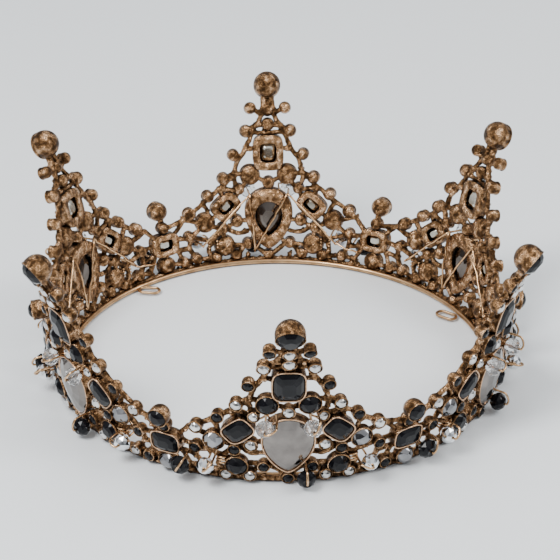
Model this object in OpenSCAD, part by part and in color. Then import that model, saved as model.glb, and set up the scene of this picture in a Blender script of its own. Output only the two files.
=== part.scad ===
// A full round crown for the hair: six open-work castings, each one peak and one
// link, soldered side by side and to a base ring, set with stones, with beads
// threaded on binding wire. Millimetres, +Z up, the base stands on z = 0.
// A place on the wall is given as degrees round from a peak's middle (positive to
// the right, seen from outside), a height z, and h, the distance out from the wall.

/* [Wall] */
// Radius of the middle of the wall at the floor
wall_r = 66; // [64:0.1:70]
// How far the wall leans out, mm for each mm of height
wall_slope = 0.17; // [0.12:0.01:0.2]
// Extra flare of the peaks, mm for each square mm above flare_z
flare = 0.0095; // [0.006:0.0005:0.011]
// Height where the extra flare starts
flare_z = 32; // [28:1:36]
// Thickness of the bottom rail, across and up
rail_t = 2; // [1.6:0.1:2.4]
// Radius of the rods of the lattice
rod_r = 0.75; // [0.6:0.05:0.9]

/* [Settings] */
// Metal round each stone
cup_wall = 0.35; // [0.3:0.05:0.5]
// Height of a small cup's rim above the wall's middle
cup_rim = 1.9; // [1.6:0.1:2.1]
// Height of a large bezel's rim above the wall's middle
bezel_rim = 2.3; // [2:0.1:2.4]
// Width and length of the pear stone
pear_size = [14.4, 19]; // [12:0.1:20]
// Width and height of the crest stone
crest_size = [8.8, 10.4]; // [7:0.1:11]
// Width and length of a shoulder stone
shoulder_size = [6.2, 8.4]; // [5:0.1:9]
// Width and length of a link stone
link_size = [6.2, 8.4]; // [5:0.1:9]
// Tilt of a shoulder stone's length from level
shoulder_tilt = 41; // [35:1:45]
// Diameter of a peak's finial stone
finial_d = 8; // [7:0.1:8.5]
// Diameter of a link's finial stone
link_finial_d = 5.5; // [5:0.1:6]
// Gap left all round a stone in its pocket
stone_gap = 0.05; // [0.03:0.01:0.1]

/* [Beads] */
// Length of a bead along its hole
bead_t = 4.2; // [3.8:0.1:4.4]
// Distance of a bead's middle out from the wall
bead_h = 4.8; // [4.7:0.1:5.2]
// Radius of the binding wire
wire_r = 0.35; // [0.3:0.05:0.4]
// Clearance of a bead's hole round the wire
bead_fit = 0.1; // [0.06:0.01:0.1]

/* [Base] */
// Diameter of the base ring's wire
ring_d = 1.6; // [1.4:0.1:1.8]
// Radius of the base ring
ring_r = 64.6; // [63:0.1:68]
// Diameter of a hair loop's wire
loop_d = 0.9; // [0.7:0.1:1]
// Length and width of a hair loop between wire middles
loop_size = [6.6, 3.4]; // [3:0.1:8]

/* [Hidden] */
peaks = 6;
pitch = 360 / peaks;
seam = -25.5;                 // where one casting is soldered to the next
far = 200;                    // beyond the whole crown
ring_z = 1;
window_share = 0.62;          // open back of a bezel, as a share of the stone

// Small stones in cups: [degrees, z, stone diameter]; the pairs stand on both sides
CLEAR_PAIRS = [
    [5.4, 43.4, 3.5], [11.8, 28.7, 3.4], [7.9, 24.9, 3], [21.8, 18.8, 3.5],
    [8.7, 14.3, 3.5], [9.2, 3, 3.2], [15, 2.9, 3.2], [20.6, 3.5, 3]];
CLEAR_SINGLES = [[0, 49.5, 3.4], [0, 45.3, 3.6], [0, 26.6, 3.4]];
BLACK_PAIRS = [
    [4.1, 50.2, 3.2], [8.9, 36.2, 3.2], [16.3, 23.6, 3.2], [12.7, 12.3, 3.2],
    [22.3, 11.2, 3], [5.8, 6.5, 3]];
BLACK_SINGLES = [[0, 2.4, 3], [24.5, 3.2, 3], [30, 16.4, 3.2]];
BLACK_ROUND_PAIRS = [[4.8, 29.4, 6], [12.3, 6.4, 6.2]];
GREY_ROUND_PAIRS = [[17.5, 15, 5.9]];
GREY_ROUND_SINGLES = [[30, 3.7, 5.4]];

// Places of the large settings: [degrees, z]
pear_at = [0, 14.8];
crest_at = [0, 36.6];
shoulder_at = [11.6, 19.6];
link_at = [30, 10.8];
finial_at = [0, 56.5];
link_finial_at = [30, 21.4];
link_finial_h = 3;

// Beads: [name, degrees, z, diameter, direction in which its wire comes off, colour]
BEADS = [
    ["crystal_bead_left", -5.2, 23.3, 5.6, 20, "gainsboro"],
    ["crystal_bead_right", 5.2, 23.3, 5.6, 60, "gainsboro"],
    ["silver_bead_left", -19.1, 7.8, 5.4, 45, "silver"],
    ["silver_bead_right", 19.1, 7.8, 5.4, 165, "silver"],
    ["black_bead_tip", 4.1, 4.5, 5.8, 90, "dimgray"],
    ["black_bead_side", -25.5, 6.2, 6.2, 60, "dimgray"]];

// Strands of the right half of a panel, through [degrees, z]
STRANDS = [
    [[0.9, 54], [1.6, 48], [4, 43], [5.9, 38], [8, 34], [9.2, 30], [13, 26], [18, 21.5], [24, 17.5],
     [30, 16]],
    [[3, 45], [5.4, 43.4]],
    [[1.6, 48.6], [4.1, 50.2]],
    [[0, 49.5], [1.6, 48]],
    [[0, 45.3], [3, 45]],
    [[0, 42.6], [4, 42.8]],
    [[3.2, 38], [5.9, 38]],
    [[6.9, 36], [8.9, 36.2]],
    [[0, 26.6], [4.8, 29.4], [9.2, 30], [11.8, 28.7]],
    [[4.8, 29.4], [7.9, 24.9], [13, 26]],
    [[2, 33.2], [4.8, 29.4]],
    [[9.2, 30], [8.8, 27], [7.9, 24.9], [9, 22]],
    [[13, 26], [12.4, 22.5]],
    [[16, 23], [16.3, 23.6]],
    [[18, 21.5], [16.6, 18], [17.5, 15], [24, 17.5]],
    [[14, 17.2], [17.5, 15], [22.3, 11.2], [26.3, 11.6]],
    [[21.5, 18], [21.8, 18.8]],
    [[24, 17.5], [26.8, 13.6]],
    [[6, 14.5], [8.7, 14.3], [12.7, 12.3], [17.5, 15]],
    [[8.7, 14.3], [9.6, 17.6]],
    [[5.4, 10.8], [8.8, 10.4], [12.7, 12.3], [12.3, 6.4], [15, 2.9], [20.6, 3.5], [24.5, 3.2],
     [30, 3.7]],
    [[3.4, 7.5], [5.8, 6.5], [12.3, 6.4], [16, 8.6], [22.3, 11.2]],
    [[0, 2.4], [5.8, 6.5], [9.2, 3], [12.3, 6.4]],
    [[12.7, 12.3], [16, 8.6], [17, 5], [15, 2.9]],
    [[20.6, 3.5], [22.5, 7.3], [22.3, 11.2]],
    [[22.5, 7.3], [26.5, 8]],
    [[24.5, 3.2], [26.5, 8]]];
// Strands that stand on the middle of a panel or of a link
MIDDLE_STRANDS = [[[0, 24], [0, 26.6]], [[30, 3.7], [29.8, 8.4]]];
// Short feet that tie the low cups to the bottom rail, in degrees
FEET = [5.8, 9.2, 15, 20.6, 24.5];

function wall(z) = wall_r + wall_slope * z + flare * pow(max(0, z - flare_z), 2);
function lean(z) = atan(wall_slope + 2 * flare * max(0, z - flare_z));
function at(deg, z, h = 0) =
    let (r = wall(z) + h * cos(lean(z)))
    [r * sin(deg), -r * cos(deg), z - h * sin(lean(z))];
function both(pairs) = [for (p = pairs) for (s = [-1, 1]) [s * p[0], p[1], p[2]]];

CLEAR = concat(CLEAR_SINGLES, both(CLEAR_PAIRS));
BLACK = concat(BLACK_SINGLES, both(BLACK_PAIRS));
BLACK_ROUND = both(BLACK_ROUND_PAIRS);
GREY_ROUND = concat(GREY_ROUND_SINGLES, both(GREY_ROUND_PAIRS));

// Stands its children on the wall: X to the right, Y up the wall, Z straight out
module place(deg, z, h = 0) {
    translate(at(deg, z, h)) rotate([90 + lean(z), 0, deg]) children();
}

module each_panel() {
    for (k = [1 : peaks]) rotate([0, 0, pitch * (k - 1)]) children();
}

module rod(p, q, r = rod_r, sides = 6) {
    v = q - p;
    translate(p) rotate([0, acos(v.z / norm(v)), atan2(v.y, v.x)])
        cylinder(h = norm(v), r = r, $fn = sides);
}

// A chain of rods through places on the wall, mirrored when side is -1
module strand(places, side = 1) {
    for (i = [1 : len(places) - 1])
        rod(at(side * places[i - 1][0], places[i - 1][1]), at(side * places[i][0], places[i][1]));
}

// Outline of a pear, point down, w wide and l long
function pear(w, l) = [for (t = [5 : 10 : 355])
    [-w / 1.72 * sin(t) * pow(sin(t / 2), 0.5), -l / 2 * cos(t)]];
// Outline of a cushion: a rectangle with cut corners
function cushion(w, l, c) = [
    [w / 2 - c, l / 2], [w / 2, l / 2 - c], [w / 2, c - l / 2], [w / 2 - c, -l / 2],
    [c - w / 2, -l / 2], [-w / 2, c - l / 2], [-w / 2, l / 2 - c], [c - w / 2, l / 2]];

module pear_outline(grow = 0) polygon(pear(pear_size[0] + 2 * grow, pear_size[1] + 2.4 * grow));
module cushion_outline(size, grow = 0, cut = 0.24)
    polygon(cushion(size[0] + 2 * grow, size[1] + 2 * grow, cut * (size[0] + 2 * grow)));

// The large settings' outlines in their places; part is "bezel", "pocket", "window" or "stone"
bezel_back = -1.2;
pocket_floor = 0.4;
module setting(part) {
    if (part == "bezel") translate([0, 0, bezel_back])
        linear_extrude(bezel_rim - bezel_back) children(0);
    if (part == "pocket") translate([0, 0, pocket_floor]) linear_extrude(far / 20) children(1);
    if (part == "window") translate([0, 0, 2 * bezel_back]) linear_extrude(far / 20)
        scale([window_share, window_share, 1]) children(1);
    if (part == "stone") translate([0, 0, pocket_floor + stone_gap]) {
        linear_extrude(bezel_rim - pocket_floor - 2 * stone_gap) children(2);
        linear_extrude(bezel_rim - pocket_floor + 0.8) scale([0.7, 0.7, 1]) children(2);
    }
}
module pear_setting(part) place(pear_at[0], pear_at[1]) setting(part) {
    pear_outline(cup_wall + 0.2);
    pear_outline(stone_gap);
    pear_outline();
}
module cushion_setting(part, size) setting(part) {
    cushion_outline(size, cup_wall + 0.2);
    cushion_outline(size, stone_gap);
    cushion_outline(size);
}
module crest_setting(part) place(crest_at[0], crest_at[1]) cushion_setting(part, crest_size);
module link_setting(part) place(link_at[0], link_at[1]) rotate([0, 0, 90])
    cushion_setting(part, link_size);
module shoulder_settings(part) for (s = [-1, 1]) place(s * shoulder_at[0], shoulder_at[1])
    rotate([0, 0, s * (90 - shoulder_tilt)]) cushion_setting(part, shoulder_size);
module large_settings(part) {
    pear_setting(part);
    crest_setting(part);
    link_setting(part);
    shoulder_settings(part);
}

// A round cup with a domed back, made for a stone of diameter d
cup_back = -1.5;
module cup(d, rim = cup_rim) {
    r = d / 2 + cup_wall;
    rotate_extrude($fn = 24)
        polygon([[0, cup_back], [0.6 * r, cup_back], [r, cup_back / 2], [r, rim], [0, rim]]);
}
module round_pocket(d, floor_h = 0.7) {
    translate([0, 0, floor_h]) cylinder(h = d, r = d / 2, $fn = 24);
}
// A round stone with a flat table, standing crown above the rim
module round_stone(d, crown, floor_h = 0.7, rim = cup_rim) {
    r = d / 2 - stone_gap;
    rotate_extrude($fn = 24) polygon([
        [0, floor_h + stone_gap], [r, floor_h + stone_gap], [r, rim], [0.55 * r, rim + crown],
        [0, rim + crown]]);
}
module at_all(list) for (p = list) place(p[0], p[1]) {
    $d = p[2];
    children();
}

// Finials: a stone in front of a ball-shaped cup
finial_rim = 1.6;
module ball_cup(d) {
    r = d / 2 + cup_wall;
    rotate_extrude($fn = 32) intersection() {
        union() {
            translate([0, -0.4]) circle(r, $fn = 48);
            translate([0, -0.4]) square([r, finial_rim + 0.4]);
        }
        translate([0, -far / 2]) square([far, far / 2 + finial_rim]);
    }
}
module in_finials() place(finial_at[0], finial_at[1]) children();
module in_link_finials() place(link_finial_at[0], link_finial_at[1], link_finial_h) children();

// The lattice of one panel, both halves, with the next panel's side of the link
module lattice() {
    for (s = [-1, 1]) for (places = STRANDS) strand(places, s);
    for (places = STRANDS) rotate([0, 0, pitch]) if (last_deg(places) > -seam) strand(places, -1);
    for (places = MIDDLE_STRANDS) strand(places);
    for (s = [-1, 1]) for (a = FEET) rod(at(s * a, rail_t / 2), at(s * a, 3.2));
    for (a = [0, link_at[0]]) rod(at(a, rail_t / 2), at(a, 3.2));
    for (s = [-1, 1]) rod(at(s * 0.9, 50), at(s * 0.7, finial_at[1]), 1.1);
    rod(at(link_at[0], 15.6), at(link_finial_at[0], link_finial_at[1], link_finial_h), 1.1);
}
function last_deg(places) = max([for (p = places) p[0]]);

// The flat-bottomed rail that the crown stands on
module bottom_rail() {
    rotate([0, 0, seam - 90]) rotate_extrude(angle = pitch, $fn = 180)
        translate([wall_r - rail_t / 2, 0]) polygon(cushion_rail());
}
function cushion_rail() = let (c = rail_t / 4) [
    [c, 0], [rail_t - c, 0], [rail_t, c], [rail_t, rail_t - c], [rail_t - c, rail_t],
    [c, rail_t], [0, rail_t - c], [0, c]];

// The wedge that belongs to one casting
module wedge() {
    rim = [for (a = [seam, seam + pitch / 2, seam + pitch]) far * [sin(a), -cos(a)]];
    linear_extrude(far) polygon(concat([[0, 0]], rim));
}

module casting() {
    difference() {
        union() {
            intersection() {
                lattice();
                wedge();
            }
            bottom_rail();
            large_settings("bezel");
            at_all(CLEAR) cup($d);
            at_all(BLACK) cup($d);
            at_all(BLACK_ROUND) cup($d);
            at_all(GREY_ROUND) cup($d);
            in_finials() ball_cup(finial_d);
            in_link_finials() ball_cup(link_finial_d);
        }
        large_settings("pocket");
        large_settings("window");
        at_all(CLEAR) round_pocket($d);
        at_all(BLACK) round_pocket($d);
        at_all(BLACK_ROUND) round_pocket($d);
        at_all(GREY_ROUND) round_pocket($d);
        in_finials() round_pocket(finial_d, 0);
        in_link_finials() round_pocket(link_finial_d, 0);
    }
}

module panel_casting(k) color("tan") rotate([0, 0, pitch * (k - 1)]) casting();

module base_ring() color("gold") translate([0, 0, ring_z])
    rotate_extrude($fn = 180) translate([ring_r, 0]) circle(d = ring_d, $fn = 24);

// A hair loop: a flat oval of wire, its length turned by turn
module hair_loop(x, y, turn) color("gold") translate([x, y, ring_z]) rotate([0, 0, turn]) {
    straight = loop_size[0] - loop_size[1];
    for (s = [0, 180]) rotate([0, 0, s]) {
        translate([straight / 2, 0]) rotate([0, 0, -90]) rotate_extrude(angle = 180, $fn = 48)
            translate([loop_size[1] / 2, 0]) circle(d = loop_d, $fn = 20);
        translate([-straight / 2, loop_size[1] / 2]) rotate([0, 90, 0])
            cylinder(h = straight, d = loop_d, $fn = 20);
    }
}
module hair_loop_left() hair_loop(-39.2, 46.6, -10);
module hair_loop_right() hair_loop(54.4, 26.2, 142);

module pear_stones() color("darkgray") each_panel() pear_setting("stone");
module crest_stones() color("black") each_panel() crest_setting("stone");
module shoulder_stones() color("black") each_panel() shoulder_settings("stone");
module link_stones() color("black") each_panel() link_setting("stone");
module finial_stones() color("black") each_panel() in_finials()
    round_stone(finial_d, 2, 0, finial_rim);
module link_finial_stones() color("black") each_panel() in_link_finials()
    round_stone(link_finial_d, 1.4, 0, finial_rim);
module clear_chatons() color("white") each_panel() at_all(CLEAR) round_stone($d, 0.7);
module black_chatons() color("black") each_panel() at_all(BLACK) round_stone($d, 0.7);
module black_round_stones() color("black") each_panel() at_all(BLACK_ROUND) round_stone($d, 1.5);
module grey_round_stones() color("gray") each_panel() at_all(GREY_ROUND) round_stone($d, 1.5);

// A bead: two cones on a true bore
module bead(b) color(b[5]) place(b[1], b[2], bead_h) {
    r = b[3] / 2;
    bore = wire_r + bead_fit;
    rotate_extrude($fn = 32) polygon([
        [bore, -bead_t / 2], [0.6 * r, -bead_t / 2], [r, -bead_t / 12], [r, bead_t / 12],
        [0.6 * r, bead_t / 2], [bore, bead_t / 2]]);
}

// A bead's wire: out through the hole, over the bead's edge and back to the lattice
module bead_wire(b) {
    top = bead_t / 2 + 0.9;
    side = b[3] / 2 + 0.8;
    place(b[1], b[2], bead_h) rotate([0, 0, b[4]]) {
        translate([0, 0, -bead_h - 0.5]) cylinder(h = bead_h + 0.5 + top, r = wire_r, $fn = 24);
        rod([0, 0, top - wire_r], [side - 0.8, 0, top - wire_r], wire_r);
        rod([side - 0.8, 0, top - wire_r], [side, 0, top - 1.1], wire_r);
        rod([side, 0, top - 1.1], [side, 0, -bead_h], wire_r);
    }
}
module bead_wires() color("goldenrod") each_panel() for (b = BEADS) bead_wire(b);

for (k = [1 : peaks]) panel_casting(k);
base_ring();
hair_loop_left();
hair_loop_right();
pear_stones();
crest_stones();
shoulder_stones();
link_stones();
finial_stones();
link_finial_stones();
clear_chatons();
black_chatons();
black_round_stones();
grey_round_stones();
bead_wires();
for (k = [1 : peaks]) for (b = BEADS)
    rotate([0, 0, pitch * (k - 1)]) bead(b);
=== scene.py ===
import math
import random

import bmesh
import bpy
from mathutils import Matrix, Vector, noise


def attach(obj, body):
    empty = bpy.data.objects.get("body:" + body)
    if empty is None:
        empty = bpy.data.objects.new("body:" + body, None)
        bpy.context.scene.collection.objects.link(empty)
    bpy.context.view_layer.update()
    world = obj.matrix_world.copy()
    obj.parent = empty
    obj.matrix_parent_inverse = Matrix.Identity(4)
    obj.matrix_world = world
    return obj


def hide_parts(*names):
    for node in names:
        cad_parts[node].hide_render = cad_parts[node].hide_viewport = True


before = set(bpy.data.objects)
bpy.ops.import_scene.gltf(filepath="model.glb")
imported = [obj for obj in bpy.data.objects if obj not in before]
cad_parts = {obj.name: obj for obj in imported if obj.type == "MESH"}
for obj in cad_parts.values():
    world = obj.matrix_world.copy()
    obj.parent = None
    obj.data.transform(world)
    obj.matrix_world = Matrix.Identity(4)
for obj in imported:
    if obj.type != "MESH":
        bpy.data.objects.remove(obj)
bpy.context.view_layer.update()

# Shapes are worked out in millimetres, as in the CAD, and become metres in Shape.piece.
MM = 0.001
PEAKS = 6
PITCH = 360 / PEAKS
# Where one casting starts and the one before it ends, in degrees from the panel's middle
SEAM = -25.5

# The wall: its radius at the floor, its lean, and the flare of the peaks
WALL_R = 66.0
WALL_SLOPE = 0.17
FLARE = 0.0095
FLARE_Z = 32.0

# Cast strands: their radius, and the grain of the remesh that joins them
ROD_R = 0.85
NECK_R = 1.15
STEM_R = 1.1
VOXEL = 0.27

# Settings of the stones; WINDOW_SHARE is how much of a stone its back window shows
CUP_WALL = 0.35
CUP_RIM = 1.95
BEZEL_RIM = 2.35
BEZEL_BACK = -1.2
POCKET_FLOOR = 0.7
WINDOW_SHARE = 0.62
PEAR_SIZE = (14.4, 19.0)
CREST_SIZE = (8.8, 10.4)
OBLONG_SIZE = (6.2, 8.4)
SHOULDER_TILT = 41
FINIAL_D = 8.0
LINK_FINIAL_D = 5.5
FINIAL_RIM = 1.6

# Beads and wire
BEAD_T = 4.2
BEAD_H = 4.8
HOLE_R = 0.46
WIRE_R = 0.33

# Base
RING_R = 64.6
RING_D = 1.6
RING_Z = 1.0
RAIL_R = 0.95
LOOP_D = 0.9
LOOP_SIZE = (6.6, 3.4)
# Hair loops: node, x, y, turn
LOOPS = [("hair_loop_left", -39.2, 46.6, -10), ("hair_loop_right", 54.4, 26.2, 142)]

# Camera, in metres, and its lens in millimetres
CAMERA_AT = (-0.032, -0.7513, 0.442)
CAMERA_AIM = (0.0007, 0, 0.0293)
CAMERA_LENS = 182.6
FLOOR_REACH = 3.0

# Small stones: (degrees from the panel's middle, height, stone diameter)
CLEAR_PAIRS = [
    (5.4, 43.4, 3.5), (11.8, 28.7, 3.4), (7.9, 24.9, 3.0), (21.8, 18.8, 3.5),
    (8.7, 14.3, 3.5), (9.2, 3.0, 3.2), (15.0, 2.9, 3.2), (20.6, 3.5, 3.0)]
CLEAR_SINGLES = [(0.0, 49.5, 3.4), (0.0, 45.3, 3.6), (0.0, 26.6, 3.4)]
BLACK_PAIRS = [
    (4.1, 50.2, 3.2), (8.9, 36.2, 3.2), (16.3, 23.6, 3.2), (12.7, 12.3, 3.2),
    (22.3, 11.2, 3.0), (5.8, 6.5, 3.0)]
BLACK_SINGLES = [(0.0, 2.4, 3.0), (24.5, 3.2, 3.0), (30.0, 16.4, 3.2)]
BLACK_ROUND_PAIRS = [(4.8, 29.4, 6.0), (12.3, 6.4, 6.2)]
GREY_ROUND_PAIRS = [(17.5, 15.0, 5.9)]
GREY_ROUND_SINGLES = [(30.0, 3.7, 5.4)]
PEAR_AT = (0.0, 14.8)
CREST_AT = (0.0, 36.6)
SHOULDER_AT = (11.6, 19.6)
LINK_AT = (30.0, 10.8)
FINIAL_AT = (0.0, 56.5)
LINK_FINIAL_AT = (30.0, 21.4)
LINK_FINIAL_H = 3.0

# Beads: name, degrees, height, diameter, direction in which the wire comes off
BEADS = [
    ("crystal_bead_left", -5.2, 23.3, 5.6, 20),
    ("crystal_bead_right", 5.2, 23.3, 5.6, 60),
    ("silver_bead_left", -19.1, 7.8, 5.4, 45),
    ("silver_bead_right", 19.1, 7.8, 5.4, 165),
    ("black_bead_tip", 4.1, 4.5, 5.8, 90),
    ("black_bead_side", -25.5, 6.2, 6.2, 60)]
# Runs of wire behind the lattice, from bead to bead, by their order in BEADS
WIRE_RUNS = [(0, 2), (1, 3), (1, 4), (2, 5), (0, 4)]

# Strands of the right half of a panel, through (degrees, height)
STRANDS = [
    [(0.9, 54), (1.6, 48), (4, 43), (5.9, 38), (8, 34), (9.2, 30), (13, 26), (18, 21.5),
     (24, 17.5), (30, 16)],
    [(3, 45), (5.4, 43.4)],
    [(1.6, 48.6), (4.1, 50.2)],
    [(0, 49.5), (1.6, 48)],
    [(0, 45.3), (3, 45)],
    [(0, 42.9), (4, 42.9)],
    [(3.2, 38), (5.9, 38)],
    [(6.9, 36), (8.9, 36.2)],
    [(0, 26.6), (4.8, 29.4), (9.2, 30), (11.8, 28.7)],
    [(4.8, 29.4), (7.9, 24.9), (13, 26)],
    [(2, 33.2), (4.8, 29.4)],
    [(9.2, 30), (8.8, 27), (7.9, 24.9), (9, 22)],
    [(13, 26), (12.4, 22.5)],
    [(16, 23), (16.3, 23.6)],
    [(18, 21.5), (16.6, 18), (17.5, 15), (24, 17.5)],
    [(14, 17.2), (17.5, 15), (22.3, 11.2), (26.3, 11.6)],
    [(21.5, 18), (21.8, 18.8)],
    [(24, 17.5), (26.8, 13.6)],
    [(6, 14.5), (8.7, 14.3), (12.7, 12.3), (17.5, 15)],
    [(8.7, 14.3), (9.6, 17.6)],
    [(5.4, 10.8), (8.8, 10.4), (12.7, 12.3), (12.3, 6.4), (15, 2.9), (20.6, 3.5),
     (24.5, 3.2), (30, 3.7)],
    [(3.4, 7.5), (5.8, 6.5), (12.3, 6.4), (16, 8.6), (22.3, 11.2)],
    [(0, 2.4), (5.8, 6.5), (9.2, 3), (12.3, 6.4)],
    [(12.7, 12.3), (16, 8.6), (17, 5), (15, 2.9)],
    [(20.6, 3.5), (22.5, 7.3), (22.3, 11.2)],
    [(22.5, 7.3), (26.5, 8)],
    [(24.5, 3.2), (26.5, 8)]]
MIDDLE_STRANDS = [[(0, 24), (0, 26.6)], [(30, 3.7), (29.8, 8.4)]]
FEET = [0, 5.8, 9.2, 15, 20.6, 24.5, 30]


# ---------------------------------------------------------------- places on the wall

def lean(z):
    return math.atan(WALL_SLOPE + 2 * FLARE * max(0, z - FLARE_Z))


def at(deg, z, h=0.0):
    r = WALL_R + WALL_SLOPE * z + FLARE * max(0, z - FLARE_Z) ** 2 + h * math.cos(lean(z))
    a = math.radians(deg)
    return Vector((r * math.sin(a), -r * math.cos(a), z - h * math.sin(lean(z))))


def stand(deg, z, h=0.0, turn=0.0):
    """A place on the wall: X to the right, Y up the wall, Z straight out, turned about Z."""
    upright = Matrix.Rotation(math.pi / 2 + lean(z), 4, "X")
    around = Matrix.Rotation(math.radians(deg), 4, "Z")
    twist = Matrix.Rotation(math.radians(turn), 4, "Z")
    return Matrix.Translation(at(deg, z, h)) @ around @ upright @ twist


def panel(k):
    """The turn of panel k, counted from 0, about the crown's axis."""
    return Matrix.Rotation(math.radians(PITCH * k), 4, "Z")


def both(pairs):
    """Each place twice, once on either side of the panel's middle."""
    return [(side * deg, z, d) for deg, z, d in pairs for side in (-1, 1)]


# ---------------------------------------------------------------- mesh building

class Shape:
    """Vertices and faces in millimetres, gathered before they become one mesh."""

    def __init__(self):
        self.verts = []
        self.faces = []

    def add(self, verts, faces, place=Matrix()):
        start = len(self.verts)
        self.verts += [place @ Vector(v) for v in verts]
        self.faces += [[start + i for i in face] for face in faces]

    def loft(self, rings, place=Matrix(), caps=True, closed=False):
        """Skins rings of equal length; caps closes both ends, closed joins last to first."""
        n = len(rings[0])
        verts = [v for ring in rings for v in ring]
        faces = []
        count = len(rings)
        for j in range(count if closed else count - 1):
            a, b = j * n, (j + 1) % count * n
            faces += [[a + i, a + (i + 1) % n, b + (i + 1) % n, b + i] for i in range(n)]
        if caps and not closed:
            faces.append(list(range(n))[::-1])
            faces.append([(count - 1) * n + i for i in range(n)])
        self.add(verts, faces, place)

    def tube(self, points, radii, sides=8):
        """A round tube along points, with a radius at each; both ends are closed."""
        rings = []
        up = Vector((0.3, 0.2, 1.0))
        for i, p in enumerate(points):
            ahead = points[min(i + 1, len(points) - 1)] - points[max(i - 1, 0)]
            ahead.normalize()
            across = ahead.cross(up).normalized()
            up = across.cross(ahead)
            rings.append([
                p + radii[i] * (math.cos(t) * across + math.sin(t) * up)
                for t in (2 * math.pi * s / sides for s in range(sides))])
        self.loft(rings)

    def ball(self, centre, r, rings=5, sides=8):
        steps = [math.pi * (j + 0.5) / rings for j in range(rings)]
        self.loft([[
            centre + r * Vector((math.sin(a) * math.cos(t), math.sin(a) * math.sin(t),
                                 -math.cos(a)))
            for t in (2 * math.pi * s / sides for s in range(sides))] for a in steps])

    def lathe(self, profile, place, sides=28):
        """Turns (radius, height) pairs about Z; the profile starts and ends near the axis."""
        self.loft([[
            (r * math.cos(t), r * math.sin(t), h)
            for t in (2 * math.pi * s / sides for s in range(sides))] for r, h in profile], place)

    def hull(self, points, place):
        """The convex solid round points, which gives a cut stone its flat facets."""
        bm = bmesh.new()
        for p in points:
            bm.verts.new(p)
        made = bmesh.ops.convex_hull(bm, input=bm.verts)
        loose = [e for e in made["geom_interior"] if isinstance(e, bmesh.types.BMVert)]
        bmesh.ops.delete(bm, geom=loose, context="VERTS")
        bmesh.ops.dissolve_limit(
            bm, angle_limit=math.radians(2), verts=bm.verts, edges=bm.edges)
        bmesh.ops.recalc_face_normals(bm, faces=bm.faces)
        bm.verts.index_update()
        self.add([v.co.copy() for v in bm.verts],
                 [[v.index for v in f.verts] for f in bm.faces], place)
        bm.free()

    def mesh(self, name):
        mesh = bpy.data.meshes.new(name)
        mesh.from_pydata([v * MM for v in self.verts], [], self.faces)
        bm = bmesh.new()
        bm.from_mesh(mesh)
        bmesh.ops.recalc_face_normals(bm, faces=bm.faces)
        bm.to_mesh(mesh)
        bm.free()
        return mesh

    def piece(self, name, material, slot, body="root", nodes=(), smooth=True):
        """The finished object, riding on its body and standing for its CAD nodes."""
        obj = bpy.data.objects.new(name, self.mesh(name))
        bpy.context.collection.objects.link(obj)
        return dress(obj, material, body, nodes, smooth)


def dress(obj, material, body, nodes, smooth):
    obj.data.materials.clear()
    obj.data.materials.append(material)
    for polygon in obj.data.polygons:
        polygon.use_smooth = smooth
    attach(obj, body)
    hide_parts(*nodes)
    return obj


def flowing(points, steps=6):
    """A smooth curve through points (Catmull-Rom), steps to a span."""
    ends = [2 * points[0] - points[1]] + points + [2 * points[-1] - points[-2]]
    path = []
    for a, b, c, d in zip(ends, ends[1:], ends[2:], ends[3:]):
        for s in range(steps):
            t = s / steps
            path.append(0.5 * (2 * b + (c - a) * t + (2 * a - 5 * b + 4 * c - d) * t * t
                               + (3 * b - a - 3 * c + d) * t ** 3))
    path.append(points[-1].copy())
    return path


# ---------------------------------------------------------------- materials

def new_material(name):
    material = bpy.data.materials.new(name)
    material.use_nodes = True
    nodes = material.node_tree.nodes
    return material, nodes, material.node_tree.links, nodes["Principled BSDF"]


def noise_node(nodes, links, scale, detail=4.0, kind="ShaderNodeTexNoise"):
    """A noise or Voronoi texture in the object's own coordinates, scale in cells a metre."""
    place = nodes.new("ShaderNodeTexCoord")
    texture = nodes.new(kind)
    texture.inputs["Scale"].default_value = scale
    if "Detail" in texture.inputs:
        texture.inputs["Detail"].default_value = detail
    links.new(place.outputs["Object"], texture.inputs["Vector"])
    return texture


def ramp_node(nodes, links, source, stops):
    ramp = nodes.new("ShaderNodeValToRGB")
    elements = ramp.color_ramp.elements
    while len(elements) < len(stops):
        elements.new(0.5)
    for element, (position, colour) in zip(elements, stops):
        element.position = position
        element.color = (*colour, 1)
    links.new(source, ramp.inputs["Fac"])
    return ramp


def mix_node(nodes, links, kind, a, b, factor=1.0):
    """Mixes two colour sockets, or a socket and a colour."""
    mix = nodes.new("ShaderNodeMix")
    mix.data_type = "RGBA"
    mix.blend_type = kind
    if hasattr(factor, "links"):
        links.new(factor, mix.inputs["Factor"])
    else:
        mix.inputs["Factor"].default_value = factor
    for socket, value in ((mix.inputs["A"], a), (mix.inputs["B"], b)):
        if hasattr(value, "links"):
            links.new(value, socket)
        else:
            socket.default_value = (*value, 1)
    return mix.outputs["Result"]


def bump_node(nodes, links, height, distance, strength=1.0, onto=None):
    bump = nodes.new("ShaderNodeBump")
    bump.inputs["Distance"].default_value = distance
    bump.inputs["Strength"].default_value = strength
    links.new(height, bump.inputs["Height"])
    if onto is not None:
        links.new(onto, bump.inputs["Normal"])
    return bump.outputs["Normal"]


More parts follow.
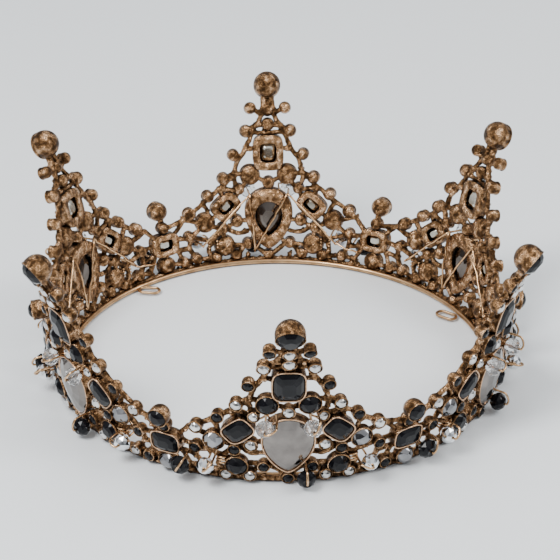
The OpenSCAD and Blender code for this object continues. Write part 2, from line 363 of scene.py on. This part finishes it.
def cast_gold():
    """Antiqued cast metal: rose gold on the high places with a painted highlight on the convex edges,
    brown patina in the hollows.
    """
    material, nodes, links, shader = new_material("antique_gold")
    geometry = nodes.new("ShaderNodeNewGeometry")
    # Convex edges lightened by pointiness: a painted highlight.
    edges = ramp_node(nodes, links, geometry.outputs["Pointiness"],
                      [(0.45, (0, 0, 0)), (0.62, (1, 1, 1))])
    mottle = noise_node(nodes, links, 520, 5)
    blotches = ramp_node(nodes, links, mottle.outputs["Fac"],
                         [(0.36, (0, 0, 0)), (0.66, (1, 1, 1))])
    # Painted edge highlight mixed with real mottled wear; it sets both the colour and the roughness.
    wear_and_edge_highlight = mix_node(nodes, links, "MIX", edges.outputs["Color"], blotches.outputs["Color"], 0.6)
    gold = ramp_node(nodes, links, wear_and_edge_highlight, [
        (0.1, (0.025, 0.012, 0.005)), (0.35, (0.12, 0.062, 0.027)),
        (0.6, (0.36, 0.205, 0.1)), (0.95, (0.85, 0.56, 0.34))])
    hollows = nodes.new("ShaderNodeAmbientOcclusion")
    hollows.inputs["Distance"].default_value = 0.0016
    hollows.samples = 6
    shade = ramp_node(nodes, links, hollows.outputs["AO"],
                      [(0.3, (0.1, 0.065, 0.045)), (0.9, (1, 1, 1))])
    colour = mix_node(nodes, links, "MULTIPLY", gold.outputs["Color"], shade.outputs["Color"])
    links.new(colour, shader.inputs["Base Color"])
    shader.inputs["Metallic"].default_value = 1.0
    dull = ramp_node(nodes, links, wear_and_edge_highlight, [(0.2, (0.4,) * 3), (0.8, (0.16,) * 3)])
    links.new(dull.outputs["Color"], shader.inputs["Roughness"])
    grains = noise_node(nodes, links, 1500, kind="ShaderNodeTexVoronoi")
    pits = noise_node(nodes, links, 3500, 3)
    knobs = bump_node(nodes, links, mottle.outputs["Fac"], 0.0009, 0.8)
    coarse = bump_node(nodes, links, grains.outputs["Distance"], 0.00025, 0.8, knobs)
    fine = bump_node(nodes, links, pits.outputs["Fac"], 0.00008, 0.6, coarse)
    links.new(fine, shader.inputs["Normal"])
    return material


def smooth_gold(name, light, dark, roughness, wear_scale=900):
    """Polished or drawn metal with a faint tarnish and hairline wear."""
    material, nodes, links, shader = new_material(name)
    tarnish = noise_node(nodes, links, wear_scale, 4)
    colour = ramp_node(nodes, links, tarnish.outputs["Fac"], [(0.3, dark), (0.62, light)])
    hollows = nodes.new("ShaderNodeAmbientOcclusion")
    hollows.inputs["Distance"].default_value = 0.0012
    hollows.samples = 4
    shade = ramp_node(nodes, links, hollows.outputs["AO"],
                      [(0.1, (0.3, 0.2, 0.13)), (0.7, (1, 1, 1))])
    mixed = mix_node(nodes, links, "MULTIPLY", colour.outputs["Color"], shade.outputs["Color"])
    links.new(mixed, shader.inputs["Base Color"])
    shader.inputs["Metallic"].default_value = 1.0
    dull = ramp_node(nodes, links, tarnish.outputs["Fac"],
                     [(0.3, (roughness + 0.12,) * 3), (0.7, (roughness,) * 3)])
    links.new(dull.outputs["Color"], shader.inputs["Roughness"])
    hairlines = noise_node(nodes, links, 2600, 6)
    links.new(bump_node(nodes, links, hairlines.outputs["Fac"], 0.00002, 0.4),
              shader.inputs["Normal"])
    return material


def stone(name, light, dark, metallic, roughness, scale=260, gloss=0.5):
    """A cut stone: nearly even in colour, with a slight smear on its polish."""
    material, nodes, links, shader = new_material(name)
    cloud = noise_node(nodes, links, scale, 3)
    colour = ramp_node(nodes, links, cloud.outputs["Fac"], [(0.35, dark), (0.65, light)])
    links.new(colour.outputs["Color"], shader.inputs["Base Color"])
    smear = ramp_node(nodes, links, cloud.outputs["Fac"],
                      [(0.3, (roughness,) * 3), (0.75, (roughness + 0.06,) * 3)])
    links.new(smear.outputs["Color"], shader.inputs["Roughness"])
    shader.inputs["Metallic"].default_value = metallic
    shader.inputs["IOR"].default_value = 1.6
    shader.inputs["Specular IOR Level"].default_value = gloss
    return material


def crystal():
    """Clear cut glass with a faint haze."""
    material, nodes, links, shader = new_material("crystal")
    haze = noise_node(nodes, links, 500, 3)
    colour = ramp_node(nodes, links, haze.outputs["Fac"],
                       [(0.3, (0.9, 0.9, 0.89)), (0.7, (0.99, 0.99, 0.99))])
    links.new(colour.outputs["Color"], shader.inputs["Base Color"])
    rough = ramp_node(nodes, links, haze.outputs["Fac"], [(0.3, (0.02,) * 3), (0.8, (0.06,) * 3)])
    links.new(rough.outputs["Color"], shader.inputs["Roughness"])
    shader.inputs["Transmission Weight"].default_value = 0.92
    shader.inputs["IOR"].default_value = 1.52
    return material


CAST = cast_gold()
RIM = smooth_gold("rim_gold", (0.72, 0.47, 0.29), (0.36, 0.2, 0.11), 0.18)
RING = smooth_gold("ring_gold", (0.58, 0.37, 0.2), (0.34, 0.2, 0.1), 0.26, 300)
WIRE = smooth_gold("wire_gold", (0.72, 0.47, 0.26), (0.45, 0.26, 0.13), 0.16)
BLACK = stone("black_stone", (0.006, 0.006, 0.008), (0.003, 0.003, 0.004), 0.0, 0.04, gloss=0.16)
GREY = stone("grey_stone", (0.3, 0.3, 0.31), (0.2, 0.2, 0.21), 1.0, 0.06)
SMOKE = stone("smoke_mirror_stone", (0.23, 0.21, 0.195), (0.17, 0.155, 0.145), 1.0, 0.05)
SMOKE_BACK = stone("smoke_back", (0.16, 0.14, 0.125), (0.09, 0.075, 0.065), 1.0, 0.12)
FOIL = stone("silver_foil", (0.66, 0.65, 0.58), (0.42, 0.4, 0.34), 1.0, 0.14)
CLEAR = stone("clear_stone", (0.78, 0.78, 0.77), (0.5, 0.49, 0.48), 1.0, 0.03)
SILVER = stone("silver_bead", (0.9, 0.92, 0.94), (0.74, 0.77, 0.8), 1.0, 0.04)
CRYSTAL = crystal()


# ---------------------------------------------------------------- castings

def wobble(point, size, seed):
    """Moves a point a little, the same way each run."""
    return point + size * noise.noise_vector(point * 0.35 + Vector((seed, 0, 0)))


def cast_strand(shape, places, k):
    """A rod of uneven thickness through the places, with a grain beside each point."""
    path = flowing([at(deg, z) for deg, z in places], 4)
    path = [wobble(p, 0.35, k) for p in path]
    radii = [ROD_R * random.uniform(0.85, 1.15) for _ in path]
    shape.tube(path, radii)
    for p, r in zip(path, radii):
        out = Vector((p.x, p.y, 0)).normalized()
        grain = random.uniform(0.4, 0.62)
        offset = 0.62 * r * out + Vector([random.uniform(-0.6, 0.6) for _ in range(3)])
        shape.ball(p + offset, grain)


def within_panel(places, side, shift):
    """Keeps the places of a strand that belong to this panel's casting."""
    kept = [(side * deg + shift, z) for deg, z in places]
    return [(deg, z) for deg, z in kept if SEAM - 2.5 <= deg <= SEAM + PITCH + 0.5]


def lattice(k):
    """The rods, knobs and bottom rail of one casting, as parts to be melted into one organic mesh."""
    shape = Shape()
    runs = [within_panel(places, side, 0) for places in STRANDS for side in (1, -1)]
    runs += [within_panel(places, -1, PITCH) for places in STRANDS]
    runs += MIDDLE_STRANDS
    for run in runs:
        if len(run) > 1:
            cast_strand(shape, run, k)
    for deg in sorted({side * foot for foot in FEET for side in (-1, 1)}):
        if deg >= SEAM:
            cast_strand(shape, [(deg, 1.2), (deg, 3.2)], k)
    for side in (-1, 1):
        neck = flowing([at(side * 0.9, 50), at(side * 0.8, 53), at(side * 0.6, 56, -1.5)])
        shape.tube(neck, [NECK_R] * len(neck))
    stem = flowing([at(30, 15.6), at(30, 18.4, 1.2), at(30, 21.4, 2.4)])
    shape.tube(stem, [STEM_R] * len(stem))
    rail_steps = 60
    rail = [at(SEAM + PITCH * s / rail_steps, 1.0) for s in range(rail_steps + 1)]
    shape.tube(rail, [RAIL_R] * len(rail), 10)
    for p in rail[::2]:
        out = Vector((p.x, p.y, 0)).normalized()
        lift = Vector((0, 0, random.uniform(-0.2, 0.9)))
        shape.ball(p + 0.7 * out + lift, random.uniform(0.55, 0.85))
    return shape


def melt(shape, name):
    """Joins a shape's parts into one cast surface and roughens it slightly."""
    obj = bpy.data.objects.new(name, shape.mesh(name))
    bpy.context.collection.objects.link(obj)
    remesh = obj.modifiers.new("remesh", "REMESH")
    remesh.mode = "VOXEL"
    remesh.voxel_size = VOXEL * MM
    smooth = obj.modifiers.new("smooth", "SMOOTH")
    smooth.iterations = 2
    result = bpy.data.meshes.new_from_object(
        obj.evaluated_get(bpy.context.evaluated_depsgraph_get()))
    obj.modifiers.clear()
    obj.data = result
    moved = []
    for vertex in result.vertices:
        place = vertex.co / MM
        swell = 0.1 * noise.noise(place * 1.3) + 0.05 * noise.noise(place * 3.1)
        place += vertex.normal * swell
        moved += [place.x * MM, place.y * MM, max(place.z, 0.02) * MM]
    result.vertices.foreach_set("co", moved)
    return obj


def cup_profile(d, rim):
    r = d / 2 + CUP_WALL
    inner = d / 2
    return [
        (0.02, -1.7), (0.4 * r, -1.6), (0.75 * r, -1.15), (0.96 * r, -0.5), (1.0 * r, 0.2),
        (0.97 * r, 0.9), (1.0 * r, rim - 0.5), (1.03 * r, rim - 0.2), (1.0 * r, rim),
        (0.5 * (r + inner), rim + 0.05), (inner, rim - 0.1), (inner, POCKET_FLOOR),
        (0.02, POCKET_FLOOR)]


def ball_profile(d):
    r = d / 2 + CUP_WALL
    inner = d / 2
    dome = [(r * math.sin(t), -0.4 - r * math.cos(t))
            for t in (math.radians(a) for a in range(2, 92, 8))]
    lip = [(r, 0.4), (0.97 * r, 0.8), (1.0 * r, 1.2), (1.0 * r, FINIAL_RIM),
           (0.5 * (r + inner), FINIAL_RIM + 0.05), (inner, FINIAL_RIM - 0.1), (inner, 0),
           (0.02, 0)]
    return dome + lip


def round_settings():
    """All round stones of a panel: (stone diameter, place, kind)."""
    groups = (
        ("clear", CLEAR_SINGLES + both(CLEAR_PAIRS)),
        ("black", BLACK_SINGLES + both(BLACK_PAIRS)),
        ("black_round", both(BLACK_ROUND_PAIRS)),
        ("grey_round", GREY_ROUND_SINGLES + both(GREY_ROUND_PAIRS)))
    return [(d, stand(deg, z), kind) for kind, places in groups for deg, z, d in places]


def cups(k):
    """The turned settings of one panel: a cup for each round stone and the two finials."""
    shape = Shape()
    for d, place, _ in round_settings():
        shape.lathe(cup_profile(d, CUP_RIM), panel(k) @ place)
    shape.lathe(ball_profile(FINIAL_D), panel(k) @ stand(*FINIAL_AT), 40)
    shape.lathe(ball_profile(LINK_FINIAL_D),
                panel(k) @ stand(*LINK_FINIAL_AT, LINK_FINIAL_H), 32)
    return shape


# Outlines of the large stones, as points for a given growth of the outline

def pear_outline(grow, points=48):
    w = PEAR_SIZE[0] + 2 * grow
    l = PEAR_SIZE[1] + 2.4 * grow
    turns = [2 * math.pi * (i + 0.5) / points for i in range(points)]
    return [(-w / 1.72 * math.sin(t) * math.sin(t / 2) ** 0.5, -l / 2 * math.cos(t))
            for t in turns]


def cushion_outline(size, grow, points=48, power=3.6):
    w, l = size[0] / 2 + grow, size[1] / 2 + grow
    outline = []
    for i in range(points):
        t = 2 * math.pi * (i + 0.5) / points
        c, s = math.cos(t), math.sin(t)
        outline.append((w * math.copysign(abs(c) ** (2 / power), c),
                        l * math.copysign(abs(s) ** (2 / power), s)))
    return outline


def large_settings():
    """Large stones of a panel: (name, outline function, place)."""
    oblong = lambda grow, points=48: cushion_outline(OBLONG_SIZE, grow, points)
    crest = lambda grow, points=48: cushion_outline(CREST_SIZE, grow, points)
    settings = [("pear", pear_outline, stand(*PEAR_AT)),
                ("crest", crest, stand(*CREST_AT)),
                ("link", oblong, stand(*LINK_AT, turn=90))]
    for side in (-1, 1):
        deg, z = SHOULDER_AT
        place = stand(side * deg, z, turn=side * (90 - SHOULDER_TILT))
        settings.append(("shoulder", oblong, place))
    return settings


def bezels(k):
    """Thin antiqued walls round each large stone, open at the back."""
    shape = Shape()
    rim = BEZEL_RIM
    section = [(0.55, BEZEL_BACK), (0.62, 0.4), (0.5, rim - 0.6), (0.55, rim - 0.25),
               (0.1, rim - 0.25), (0.05, 0.4)]
    for _, outline, place in large_settings():
        rings = [[(x, y, h) for x, y in outline(grow)] for grow, h in section]
        for h in (0.4, BEZEL_BACK):
            rings.append([(WINDOW_SHARE * x, WINDOW_SHARE * y, h) for x, y in outline(0)])
        shape.loft(rings, panel(k) @ place, closed=True)
    return shape


def lips(k):
    """The polished edge that is rolled over each large stone."""
    shape = Shape()
    rim = BEZEL_RIM
    section = [(0.5, rim - 0.34), (0.61, rim - 0.28), (0.58, rim - 0.05), (0.35, rim + 0.02),
               (0.08, rim - 0.15), (0.12, rim - 0.32)]
    for _, outline, place in large_settings():
        shape.loft([[(x, y, h) for x, y in outline(grow)] for grow, h in section],
                   panel(k) @ place, closed=True)
    return shape


def build_castings():
    for k in range(PEAKS):
        node = f"panel_casting_{k + 1}"
        obj = melt(lattice(k), f"lattice_{k + 1}")
        obj.data.transform(panel(k))
        dress(obj, CAST, "root", [node], True)
        cups(k).piece(f"cups_{k + 1}", CAST, "antique_gold", nodes=[node])
        bezels(k).piece(f"bezels_{k + 1}", CAST, "antique_gold", nodes=[node])
        lips(k).piece(f"lips_{k + 1}", RIM, "antique_gold", nodes=[node])


# ---------------------------------------------------------------- stones

def ring_of(n, r, h, offset=0.0):
    return [(r * math.cos(2 * math.pi * (i + offset) / n),
             r * math.sin(2 * math.pi * (i + offset) / n), h) for i in range(n)]


def round_gem(shape, d, place, floor, rim, crown, n=8):
    """A brilliant: round girdle, a ring of kites and a flat table."""
    r = d / 2 - 0.04
    points = ring_of(3 * n, 0.97 * r, floor) + ring_of(3 * n, r, rim - 0.15)
    points += ring_of(n, 0.8 * r, rim - 0.15 + 0.62 * crown, 0.5)
    points += ring_of(n, 0.48 * r, rim - 0.15 + crown)
    shape.hull(points, place)


def outline_gem(shape, outline, place, crown, steps, n):
    """A fancy cut: a fine girdle, then coarse rings of steps (share, height share)."""
    low, high = 0.45, BEZEL_RIM - 0.2
    points = [(x, y, low) for x, y in outline(-0.05)]
    points += [(x, y, high) for x, y in outline(-0.05)]
    for share, height in steps:
        points += [(share * x, share * y, high + height * crown) for x, y in outline(0, n)]
    shape.hull(points, place)


def outline_back(shape, outline, place):
    """The foiled underside of a fancy stone, seen through the window behind it."""
    points = [(0.98 * WINDOW_SHARE * x, 0.98 * WINDOW_SHARE * y, 0.44) for x, y in outline(0)]
    points += [(0.3 * x, 0.3 * y, -0.5) for x, y in outline(0, 8)]
    shape.hull(points, place)


FANCY_CUTS = {
    "pear": (1.7, [(0.74, 0.66), (0.3, 1.0)], 10),
    "crest": (1.5, [(0.8, 0.6), (0.46, 1.0)], 8),
    "link": (1.2, [(0.78, 0.62), (0.44, 1.0)], 8),
    "shoulder": (1.3, [(0.78, 0.62), (0.42, 1.0)], 8)}
ROUND_CROWNS = {"clear": (0.8, 7), "black": (0.75, 7), "black_round": (1.6, 6),
                "grey_round": (1.6, 6)}


def build_stones():
    shapes, backs = {}, {}
    for k in range(PEAKS):
        for name, outline, place in large_settings():
            crown, steps, n = FANCY_CUTS[name]
            shape = shapes.setdefault(name, Shape())
            outline_gem(shape, outline, panel(k) @ place, crown, steps, n)
            outline_back(backs.setdefault(name, Shape()), outline, panel(k) @ place)
        for i, (d, place, kind) in enumerate(round_settings()):
            crown, n = ROUND_CROWNS[kind]
            turn = Matrix.Rotation(0.9 * i + k, 4, "Z")
            shape = shapes.setdefault(kind, Shape())
            round_gem(shape, d, panel(k) @ place @ turn, POCKET_FLOOR + 0.05, CUP_RIM, crown, n)
        round_gem(shapes.setdefault("finial", Shape()), FINIAL_D,
                  panel(k) @ stand(*FINIAL_AT), 0.05, FINIAL_RIM, 1.9, 8)
        round_gem(shapes.setdefault("link_finial", Shape()), LINK_FINIAL_D,
                  panel(k) @ stand(*LINK_FINIAL_AT, LINK_FINIAL_H), 0.05, FINIAL_RIM, 1.4, 7)
    looks = {
        "pear": ("pear_stones", SMOKE, "smoke_mirror_stone"),
        "crest": ("crest_stones", BLACK, "black_stone"),
        "shoulder": ("shoulder_stones", BLACK, "black_stone"),
        "link": ("link_stones", BLACK, "black_stone"),
        "finial": ("finial_stones", BLACK, "black_stone"),
        "link_finial": ("link_finial_stones", BLACK, "black_stone"),
        "clear": ("clear_chatons", CLEAR, "clear_stone"),
        "black": ("black_chatons", BLACK, "black_stone"),
        "black_round": ("black_round_stones", BLACK, "black_stone"),
        "grey_round": ("grey_round_stones", GREY, "grey_stone")}
    for kind, (node, material, slot) in looks.items():
        shapes[kind].piece(f"cut_{node}", material, slot, nodes=[node], smooth=False)
    for kind, shape in backs.items():
        node, material, slot = looks[kind]
        shape.piece(f"back_{node}", SMOKE_BACK if kind == "pear" else FOIL, slot,
                    nodes=[node], smooth=False)


# ---------------------------------------------------------------- beads and wire

def facet_bead(shape, d, place, n=10):
    """A faceted rondelle on an open hole: triangles in two belts round a waist."""
    r = d / 2
    half = BEAD_T / 2
    rings = [
        ring_of(n, HOLE_R, half - 0.25), ring_of(n, 0.5 * r, half),
        ring_of(n, 0.84 * r, 0.55 * half, 0.5),
        ring_of(n, 0.985 * r, 0, 1.0), ring_of(n, 0.84 * r, -0.55 * half, 1.5),
        ring_of(n, 0.5 * r, -half, 2.0), ring_of(n, HOLE_R, 0.25 - half, 2.0)]
    verts = [v for ring in rings for v in ring]
    faces = []
    for j in range(len(rings)):
        a, b = j * n, (j + 1) % len(rings) * n
        for i in range(n):
            m = (i + 1) % n
            if 1 <= j <= 4:
                faces.append([a + i, a + m, b + i])
                faces.append([a + m, b + m, b + i])
            elif j == 6:
                faces.append([a + i, a + m, b + (m + 2) % n, b + (i + 2) % n])
            else:
                faces.append([a + i, a + m, b + m, b + i])
    shape.add(verts, faces, place)


def bead_looks(name):
    if name.startswith("crystal"):
        return CRYSTAL, "crystal"
    if name.startswith("silver"):
        return SILVER, "silver_bead"
    return BLACK, "black_bead"


def build_beads():
    for k in range(PEAKS):
        for name, deg, z, d, off in BEADS:
            node = f"{name}_{k + 1}"
            material, slot = bead_looks(name)
            shape = Shape()
            facet_bead(shape, d, panel(k) @ stand(deg, z, BEAD_H, turn=17 * k + off))
            shape.piece(f"facets_{node}", material, slot, node, [node], smooth=False)


def wire_over_bead(shape, deg, z, d, off, k):
    """Out through the hole, over the front of the bead and back to the lattice."""
    half = BEAD_T / 2
    side = d / 2 + 0.75
    route = [(0, -BEAD_H - 1.8), (0, -half), (0, half), (0.35, half + 0.75),
             (0.5 * side, half + 0.8), (side - 0.15, half - 0.4), (side, 0), (side - 0.1, -half),
             (side - 0.6, -BEAD_H - 0.6)]
    place = panel(k) @ stand(deg, z, BEAD_H, turn=off)
    path = flowing([place @ Vector((x, 0, h)) for x, h in route], 5)
    shape.tube(path, [WIRE_R] * len(path))


def wraps(shape, side, k):
    """Three short bars of wire bound round the lattice beside a silver bead."""
    for turn in range(3):
        z = 6.6 + 1.0 * turn
        route = [at(side * 14.7, z, -1.2), at(side * 14.9, z + 0.1, 1.0),
                 at(side * 15.9, z + 0.2, 1.5), at(side * 16.9, z + 0.1, 1.0),
                 at(side * 17.1, z, -1.2)]
        path = [panel(k) @ p for p in flowing(route, 5)]
        shape.tube(path, [WIRE_R] * len(path))


def build_wires():
    shape = Shape()
    for k in range(PEAKS):
        for _, deg, z, d, off in BEADS:
            wire_over_bead(shape, deg, z, d, off, k)
        for a, b in WIRE_RUNS:
            start, end = BEADS[a], BEADS[b]
            middle = (0.5 * (start[1] + end[1]), 0.5 * (start[2] + end[2]))
            route = [at(start[1], start[2], -1.5), at(*middle, -2.2), at(end[1], end[2], -1.5)]
            path = [panel(k) @ wobble(p, 0.5, k + a) for p in flowing(route, 6)]
            shape.tube(path, [WIRE_R] * len(path))
        for side in (-1, 1):
            wraps(shape, side, k)
    shape.piece("binding_wires", WIRE, "wire_gold", nodes=["bead_wires"])


def build_base():
    ring = Shape()
    around = 180
    ring.loft([[
        Vector(((RING_R + RING_D / 2 * math.cos(t)) * math.cos(a),
                (RING_R + RING_D / 2 * math.cos(t)) * math.sin(a),
                RING_Z + RING_D / 2 * math.sin(t)))
        for t in (2 * math.pi * s / 16 for s in range(16))]
        for a in (2 * math.pi * s / around for s in range(around))], closed=True)
    ring.piece("ring_wire", RING, "ring_gold", nodes=["base_ring"])
    for name, x, y, turn in LOOPS:
        loop = Shape()
        place = Matrix.Translation((x, y, RING_Z)) @ Matrix.Rotation(math.radians(turn), 4, "Z")
        straight, width = LOOP_SIZE[0] - LOOP_SIZE[1], LOOP_SIZE[1]
        rings = []
        for s in range(64):
            t = 2 * math.pi * s / 64
            centre = Vector((math.copysign(straight / 2, math.cos(t)), 0, 0))
            out = Vector((math.cos(t), math.sin(t), 0))
            middle = centre + out * width / 2
            rings.append([middle + LOOP_D / 2 * (math.cos(u) * out + Vector((0, 0, math.sin(u))))
                          for u in (2 * math.pi * q / 12 for q in range(12))])
        loop.loft(rings, place, closed=True)
        loop.piece(f"wire_{name}", RING, "ring_gold", nodes=[name])


# ---------------------------------------------------------------- stage

def build_stage():
    mesh = bpy.data.meshes.new("floor")
    corners = [(-1, -1), (1, -1), (1, 1), (-1, 1)]
    mesh.from_pydata([(FLOOR_REACH * x, FLOOR_REACH * y, 0) for x, y in corners], [],
                     [(0, 1, 2, 3)])
    floor = bpy.data.objects.new("floor", mesh)
    bpy.context.collection.objects.link(floor)
    material, nodes, links, shader = new_material("floor")
    cloud = noise_node(nodes, links, 4, 2)
    colour = ramp_node(nodes, links, cloud.outputs["Fac"],
                       [(0.3, (0.86, 0.9, 0.925)), (0.7, (0.9, 0.935, 0.955))])
    links.new(colour.outputs["Color"], shader.inputs["Base Color"])
    shader.inputs["Roughness"].default_value = 0.35
    mesh.materials.append(material)


def area_light(name, place, aim, size, energy, colour=(1, 1, 1)):
    data = bpy.data.lights.new(name, "AREA")
    data.shape = "DISK"
    data.size = size
    data.energy = energy
    data.color = colour
    light = bpy.data.objects.new(name, data)
    bpy.context.collection.objects.link(light)
    light.location = place
    light.rotation_euler = (Vector(aim) - Vector(place)).to_track_quat("-Z", "Y").to_euler()


def build_light():
    """A pale room, darker towards the horizon, and two soft lamps."""
    world = bpy.data.worlds.new("studio")
    bpy.context.scene.world = world
    world.use_nodes = True
    nodes, links = world.node_tree.nodes, world.node_tree.links
    background = nodes["Background"]
    coordinates = nodes.new("ShaderNodeTexCoord")
    height = nodes.new("ShaderNodeSeparateXYZ")
    links.new(coordinates.outputs["Generated"], height.inputs["Vector"])
    sky = ramp_node(nodes, links, height.outputs["Z"], [
        (0.0, (0.1, 0.1, 0.105)), (0.3, (0.3, 0.3, 0.31)), (0.5, (0.95, 0.97, 1.0)),
        (1.0, (1.0, 1.0, 1.0))])
    seen = nodes.new("ShaderNodeLightPath")
    plain = mix_node(nodes, links, "MIX", sky.outputs["Color"], (0.72, 0.76, 0.78),
                     seen.outputs["Is Camera Ray"])
    links.new(plain, background.inputs["Color"])
    background.inputs["Strength"].default_value = 1.0
    area_light("key", (-0.45, -0.35, 0.8), (0, 0, 0.02), 0.45, 9.0)
    area_light("fill", (0.6, -0.1, 0.6), (0, 0, 0.02), 0.4, 3.0)


def build_camera():
    data = bpy.data.cameras.new("camera")
    data.sensor_width = 36
    data.lens = CAMERA_LENS
    camera = bpy.data.objects.new("camera", data)
    bpy.context.collection.objects.link(camera)
    camera.location = CAMERA_AT
    camera.rotation_euler = (Vector(CAMERA_AIM) - camera.location).to_track_quat("-Z", "Y").to_euler()
    bpy.context.scene.camera = camera


# Both sources of chance are fixed, so that each run gives the same shapes
random.seed(7)
noise.seed_set(7)
build_camera()
build_castings()
build_stones()
build_beads()
build_wires()
build_base()
build_stage()
build_light()
